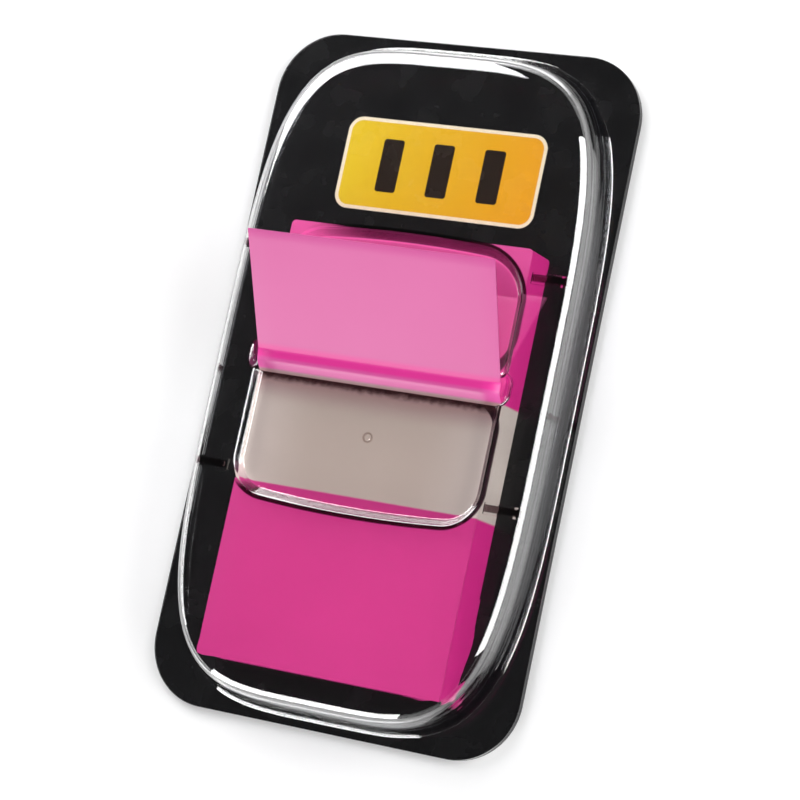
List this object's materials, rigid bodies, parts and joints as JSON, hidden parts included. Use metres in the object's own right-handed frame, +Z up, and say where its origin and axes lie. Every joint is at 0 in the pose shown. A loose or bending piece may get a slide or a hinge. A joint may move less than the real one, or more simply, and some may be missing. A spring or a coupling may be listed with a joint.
{
  "type": "pack of sticky index tabs",
  "caption": "Pack of sticky index tabs on a black card under a clear moulded cover, with finger wells and a slot that a pink tab leans out of.",
  "frame": {"origin": "middle of the underside of the backing card, on the surface that the pack lies on", "axes": "+Y from the foot of the card to its head, +X to the right as the tabs are seen, +Z up out of the card"},
  "size_m": [0.0384, 0.0684, 0.013],
  "materials": {
    "card": "gloss varnished black",
    "tab_film": "matt writable film, pink at one end and clear at the other",
    "clear_sheet": "clear gloss"
  },
  "bodies": {
    "root": {"backing_card": "card", "tab_stack": "tab_film", "lead_tab": "tab_film", "clear_cover": "clear_sheet"}
  },
  "joints": []
}
